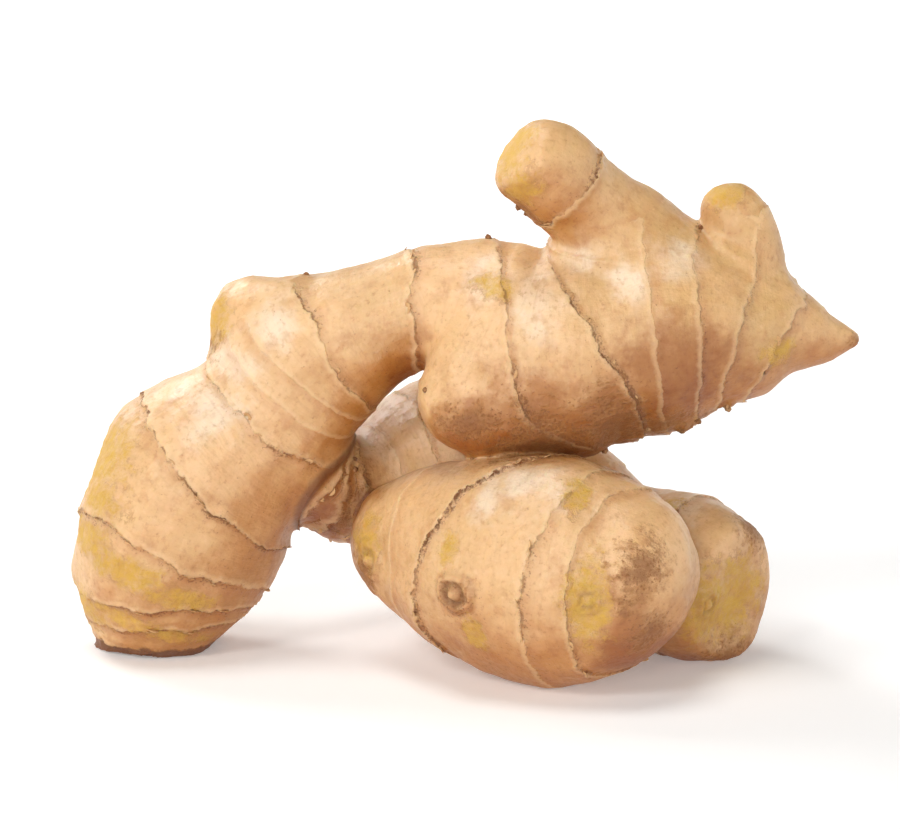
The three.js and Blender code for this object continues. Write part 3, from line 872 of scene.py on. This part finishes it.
colour = coats(
    tree, paper["Colour"],
    (ramp(tree, fibre, 0.42, 0.75, 0, 0.2), FIBRE_STRAW),
    (ramp(tree, wrinkle, 0.52, 0.3, 0, 0.15), WRINKLE_BROWN),
    (times(tree, young, 0.3), YOUNG_SKIN),
    # painted shade on the undersides, then golden brown earth colour that also paints shade under the crown and
    # underlobe
    (low, UNDERSIDE_SHADE_TAN, "MULTIPLY"),
    (earth_and_shade_tan, EARTH_AND_SHADE_TAN, "MULTIPLY"),
    # pale lip, partly a painted highlight
    (times(tree, lip_pale_and_highlight, 0.34), LIP_STRAW),
    (times(tree, bare, patchy), flesh),
    (torn, TORN_EDGE),
    (ramp(tree, dirt, -0.1, 0.5, 0, 0.5), EARTH_THIN),
    (ramp(tree, dirt, 0.2, 0.95, 0, 0.66), EARTH_THICK),
    (times(tree, bud_value, 0.62), SCAR_BROWN),
    (times(tree, bud_value, -0.6), BUD_PALE),
    # painted shade in the creases and along the foot's bottom edge
    (ramp(tree, crease_shade_mask, 0.25, 1.0, 0, 0.85), CREASE_SHADE),
    (times(tree, line, 0.72), SCAR_BROWN),
)
tree.links.new(colour, principled.inputs["Base Color"])

rough = ramp(tree, paper["Height"], 0.3, 0.8, 0.36, 0.52)
rough = plus(tree, rough, times(tree, plus(tree, plus(tree, line, bare), grime), 0.18))
rough = minus(tree, rough, times(tree, highlight_silver, 0.06))
tree.links.new(rough, principled.inputs["Roughness"])

flaky = minus(tree, noise_of(tree, place, 1.7, 5, 0.75), 0.8)
height = times(tree, fibre, plus(tree, 0.08, times(tree, band, 0.16)))
for part, tall in (
    (wrinkle, 0.12), (paper["Height"], 0.13), (times(tree, bare, flaky), 0.65), (grime, 0.16), (line, -0.2),
    (lip_pale_and_highlight, 0.08),
):
    height = plus(tree, height, times(tree, part, tall))
bump = add(tree, "ShaderNodeBump", {"Strength": 1.0, "Distance": MM, "Height": height})
tree.links.new(bump.outputs[0], principled.inputs["Normal"])
rhizome_mesh.materials.append(skin)


# Root stubs
# Short dry ends of rootlets that broke off, mostly under the fingers: dark, tapered and a little bent.
# Each is a cone set into the skin along its normal.
# Finger, place along it, angle in degrees, radius and height, of which STUB_SHOWN stands out.
STUBS = [
    ("stem", 103.5, -93, 0.8, 1.5), ("stem", 79.5, -96, 0.9, 1.1), ("stem", 143, 70, 1.0, 2.2),
    ("stem", 147, 66, 0.8, 1.6), ("stem", 155, 68, 0.9, 2.0), ("stem", 136, 62, 0.8, 1.2),
    ("underlobe", 33, 40, 0.7, 1.1), ("underlobe", 25, -75, 0.8, 1.3), ("stem", 128, 75, 0.9, 1.4),
    ("backLimb", 17, -51, 0.7, 1.2), ("backLimb", 17.5, -39, 0.7, 1.1), ("hornLeft", 34, -95, 0.8, 1.4),
    ("hornLeft", 31, -100, 0.7, 1.0), ("stem", 150, -84, 0.7, 1.3), ("stem", 60, 120, 0.8, 1.3),
    ("stem", 88, 150, 0.8, 1.2), ("stem", 122, 140, 0.8, 1.3), ("backLimb", 70, 120, 0.9, 1.4),
    ("backLimb", 92, 200, 0.8, 1.2), ("frontLobe", 52, 150, 0.9, 1.3), ("frontLobe", 28, 170, 0.8, 1.2),
]
STUB_SHOWN = 0.6
STUB_ROOT = 1.4  # how deep a stub is set into the skin
STUB_SEED = 11


def dry_finish(name, colour, crumbs, roughness, relief):
    """Weathered brown paper or bark."""
    material, tree, principled = new_material(name)
    paper = use_group(tree, weathered, {"Place": in_millimetres(tree), "Colour": colour, "Crumbs": crumbs})
    tree.links.new(paper["Colour"], principled.inputs["Base Color"])
    principled.inputs["Roughness"].default_value = roughness
    bump = add(tree, "ShaderNodeBump", {"Strength": 1.0, "Distance": relief, "Height": paper["Height"]})
    tree.links.new(bump.outputs[0], principled.inputs["Normal"])
    return material


random = np.random.default_rng(STUB_SEED)
bm = bmesh.new()
for finger, place, degrees, radius, tall in STUBS:
    nearest = np.argmin(((points - spot(finger, place, degrees)) ** 2).sum(1))
    foot, out = Vector(points[nearest]), Vector(normals[nearest])
    lean = Vector(random.uniform(-0.35, 0.35, 3))
    turned = (out + lean).to_track_quat("Z", "Y")
    stub = bmesh.ops.create_grid(bm, x_segments=9, y_segments=6, size=0.5)["verts"]
    for vertex in stub:
        round_it, up = vertex.co.x * 2 * math.pi, vertex.co.y + 0.5
        wide = radius * (1 - 0.4 * up) * min(1, 6 * up, 7 * (1 - up) + 0.001) ** 0.5
        wide *= 1 + 0.3 * noise.noise(Vector((math.cos(round_it), math.sin(round_it), up * 2 + place)))
        height = up * (tall * STUB_SHOWN + STUB_ROOT) - STUB_ROOT
        shaped = Vector((wide * math.cos(round_it) + 0.12 * height * height, wide * math.sin(round_it), height))
        vertex.co = (foot + turned @ shaped) * MM
    bmesh.ops.remove_doubles(bm, verts=stub, dist=2e-6)
bmesh.ops.recalc_face_normals(bm, faces=bm.faces)
stubs = finished(bm, "root_stubs")
stubs.data.materials.append(dry_finish("dry_root", (0.34, 0.15, 0.055, 1), 0.9, 0.75, 0.3 * MM))
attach(stubs, "root")


# Papery flakes
# The old leaf sheaths have dried to thin brown slivers that stand up here and there along the leaf scars.
# Each is a narrow grid laid along the scar, lifted at its front edge and given the thickness of paper.
FLAKE_COUNT = 95
FLAKE_WIDE = (0.8, 2.6)
FLAKE_DEEP = (0.4, 1.0)
FLAKE_TALL = (0.15, 0.6)
FLAKE_PAPER = 0.12  # thick
FLAKE_NEAR = 0.35  # to the line of a scar
FLAKE_SHARP = 0.7  # how sharp that scar is at least
FLAKE_CLEAR = 3  # of the table
FLAKE_SEED = 23

random = np.random.default_rng(FLAKE_SEED)
bm = bmesh.new()
on_scar = (np.abs(to_scar) < FLAKE_NEAR) & (strength > FLAKE_SHARP)
candidates = np.nonzero(on_scar & (points[:, 2] > FLAKE_CLEAR))[0]
for index in random.choice(candidates, FLAKE_COUNT, replace=False):
    name = NAMES[owner[index]]
    onward = Vector(SPINES[name].at(SPINES[name].onward, np.array([at[index]]))[0])
    out = Vector(normals[index])
    side = out.cross(onward).normalized()
    ahead = side.cross(out)
    wide, deep, tall = (random.uniform(*span) for span in (FLAKE_WIDE, FLAKE_DEEP, FLAKE_TALL))
    sliver = bmesh.ops.create_grid(bm, x_segments=6, y_segments=2, size=0.5)["verts"]
    for vertex in sliver:
        across, along_it = vertex.co.x, vertex.co.y + 0.5
        taper = (1 - (2 * across) ** 2) ** 0.5 if abs(across) < 0.499 else 0.12
        tooth = 1 + 0.7 * noise.noise(Vector((across * 6, index, 0)))
        rise = -0.25 + (0.25 + tall * tooth) * along_it**1.6 * taper
        vertex.co = (
            Vector(points[index]) + side * across * wide + ahead * (along_it * deep * taper * tooth - 0.3)
            + out * (rise - 0.5 * (across * wide) ** 2 / girth[index])
        ) * MM
flakes = finished(bm, "paper_flakes")
flakes.data.materials.append(dry_finish("dry_sheath", (0.60, 0.34, 0.14, 1), 0.5, 0.6, 0.2 * MM))
paper_thick = flakes.modifiers.new("paper", "SOLIDIFY")
paper_thick.thickness = FLAKE_PAPER * MM
paper_thick.offset = 0
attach(flakes, "root")
